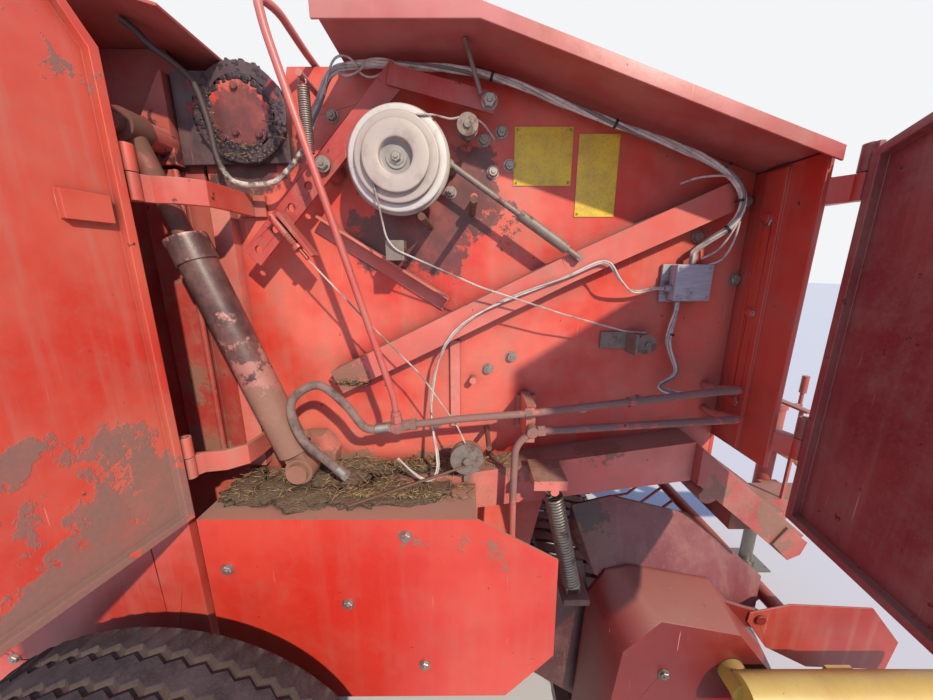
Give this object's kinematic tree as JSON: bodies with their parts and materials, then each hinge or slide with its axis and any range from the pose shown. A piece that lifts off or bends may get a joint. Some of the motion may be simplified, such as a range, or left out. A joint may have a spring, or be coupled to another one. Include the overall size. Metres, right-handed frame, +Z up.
{
  "type": "round baler",
  "caption": "Towed round baler: fixed chamber of press rollers, lifting tailgate with rams, side doors, tined pickup with gauge wheels, drawbar with eye and jack.",
  "frame": {"origin": "centre of the drawbar's towing eye", "axes": "+X the way the baler is towed, +Y its left-hand side, +Z up along the eye's bore"},
  "size_m": [3.5369, 2.526, 1.944],
  "materials": {
    "red_paint": "sun-faded red, dusty",
    "dark_paint": "red under grease and dried mud",
    "yellow_paint": "worn yellow",
    "yellow_plastic": "dusty yellow plastic",
    "rubber": "weathered black",
    "tyre": "dusty black",
    "cast_pulley": "dirty off-white",
    "twine": "pale twine",
    "bare_steel": "dull worn steel",
    "grey_plastic": "grey",
    "lamp_plastic": "red lamp"
  },
  "bodies": {
    "frame": {"side_wall_right": "red_paint", "side_wall_left": "red_paint", "wall_beams_right": "red_paint", "wall_beams_left": "red_paint", "roof": "red_paint", "front_panel": "red_paint", "twine_box": "red_paint", "lower_covers": "red_paint", "axle": "red_paint", "press_rollers_front": "bare_steel", "feed_floor": "red_paint", "door_straps": "red_paint", "gearbox": "red_paint", "drawbar_arms": "red_paint", "drawbar_tongue": "red_paint", "jack_tube": "red_paint", "pto_guard": "yellow_plastic", "pto_joints": "bare_steel", "step_pulley": "cast_pulley", "tying_lever": "red_paint", "cord_guides": "bare_steel", "tying_cord": "twine", "lever_spring": "bare_steel", "junction_box": "grey_plastic", "wiring": "grey_plastic", "hydraulic_pipes": "dark_paint", "hydraulic_hose": "rubber", "pickup_springs": "bare_steel"},
    "tailgate": {"tailgate_sides": "red_paint", "tailgate_skin": "red_paint", "tailgate_covers": "red_paint", "hinge_plates": "dark_paint", "press_rollers_rear": "bare_steel", "tail_lamps": "lamp_plastic"},
    "ram_barrel_r": {"ram_barrel_right": "red_paint"},
    "ram_rod_r": {"ram_rod_right": "bare_steel"},
    "ram_barrel_l": {"ram_barrel_left": "red_paint"},
    "ram_rod_l": {"ram_rod_left": "bare_steel"},
    "door_rear_r": {"door_rear_right": "red_paint"},
    "door_front_r": {"door_front_right": "red_paint"},
    "door_rear_l": {"door_rear_left": "red_paint"},
    "door_front_l": {"door_front_left": "red_paint"},
    "pickup": {"pickup_ends": "red_paint", "pickup_tubes": "red_paint", "pickup_bands": "red_paint", "pickup_covers": "red_paint", "pickup_hoods": "dark_paint", "gauge_arms": "yellow_paint"},
    "crop_guard": {"crop_guard": "red_paint"},
    "reel": {"pickup_reel": "bare_steel"},
    "gauge_r": {"gauge_wheel_right": "rubber"},
    "gauge_l": {"gauge_wheel_left": "rubber"},
    "wheel_r": {"tyre_right": "tyre", "rim_right": "yellow_paint"},
    "wheel_l": {"tyre_left": "tyre", "rim_left": "yellow_paint"},
    "jack": {"jack_leg": "bare_steel"}
  },
  "joints": [
    {"name": "wheel_right_spin", "type": "hinge", "parent": "frame", "child": "wheel_r", "pos_m": [-2.65, -1.005, -0.0275], "axis": [0, 1, 0], "continuous": true},
    {"name": "wheel_left_spin", "type": "hinge", "parent": "frame", "child": "wheel_l", "pos_m": [-2.65, 1.005, -0.0275], "axis": [0, 1, 0], "continuous": true},
    {"name": "tailgate_lift", "type": "hinge", "parent": "frame", "child": "tailgate", "pos_m": [-2.50006, 0, 1.33939], "axis": [0, 1, 0], "range_deg": [0, 60]},
    {"name": "ram_tilt_r", "type": "hinge", "parent": "frame", "child": "ram_barrel_r", "pos_m": [-2.422, -0.706, 0.61], "axis": [0, 1, 0], "range_deg": [-1, 8]},
    {"name": "ram_stroke_r", "type": "slide", "parent": "ram_barrel_r", "child": "ram_rod_r", "axis": [-0.3337, 0, 0.9427], "range_m": [0, 0.15]},
    {"name": "ram_tilt_l", "type": "hinge", "parent": "frame", "child": "ram_barrel_l", "pos_m": [-2.422, 0.706, 0.61], "axis": [0, 1, 0], "range_deg": [-1, 8]},
    {"name": "ram_stroke_l", "type": "slide", "parent": "ram_barrel_l", "child": "ram_rod_l", "axis": [-0.3337, 0, 0.9427], "range_m": [0, 0.15]},
    {"name": "door_rear_right_swing", "type": "hinge", "parent": "frame", "child": "door_rear_r", "pos_m": [-2.6, -0.791, 0.99], "axis": [0, 0, 1], "range_deg": [-3.5, 101.5]},
    {"name": "door_front_right_swing", "type": "hinge", "parent": "frame", "child": "door_front_r", "pos_m": [-1.41, -0.791, 0.95], "axis": [0, 0, 1], "range_deg": [-81, 14]},
    {"name": "door_rear_left_swing", "type": "hinge", "parent": "frame", "child": "door_rear_l", "pos_m": [-2.6, 0.791, 0.99], "axis": [0, 0, 1], "range_deg": [0, 105]},
    {"name": "door_front_left_swing", "type": "hinge", "parent": "frame", "child": "door_front_l", "pos_m": [-1.41, 0.791, 0.95], "axis": [0, 0, 1], "range_deg": [-95, 0]},
    {"name": "pickup_lift", "type": "hinge", "parent": "frame", "child": "pickup", "pos_m": [-2, 0, 0.03], "axis": [0, 1, 0], "range_deg": [0, 10.8], "deforming": ["pickup_springs"]},
    {"name": "crop_guard_lift", "type": "hinge", "parent": "pickup", "child": "crop_guard", "pos_m": [-1.32, 0, 0.186], "axis": [0, 1, 0], "range_deg": [-30, 0]},
    {"name": "reel_spin", "type": "hinge", "parent": "pickup", "child": "reel", "pos_m": [-1.545, 0, -0.16], "axis": [0, 1, 0], "continuous": true},
    {"name": "gauge_right_spin", "type": "hinge", "parent": "pickup", "child": "gauge_r", "pos_m": [-1.2, -0.885, -0.12], "axis": [0, 1, 0], "continuous": true},
    {"name": "gauge_left_spin", "type": "hinge", "parent": "pickup", "child": "gauge_l", "pos_m": [-1.2, 0.885, -0.12], "axis": [0, 1, 0], "continuous": true},
    {"name": "jack_slide", "type": "slide", "parent": "frame", "child": "jack", "axis": [0, 0, 1], "range_m": [0, 0.3]}
  ],
  "couplings": [
    {"joint": "ram_tilt_r", "follows": "tailgate_lift", "ratio": 0.0989},
    {"joint": "ram_stroke_r", "follows": "tailgate_lift", "m_per_rad": 0.1422},
    {"joint": "ram_tilt_l", "follows": "tailgate_lift", "ratio": 0.0989},
    {"joint": "ram_stroke_l", "follows": "tailgate_lift", "m_per_rad": 0.1422}
  ]
}
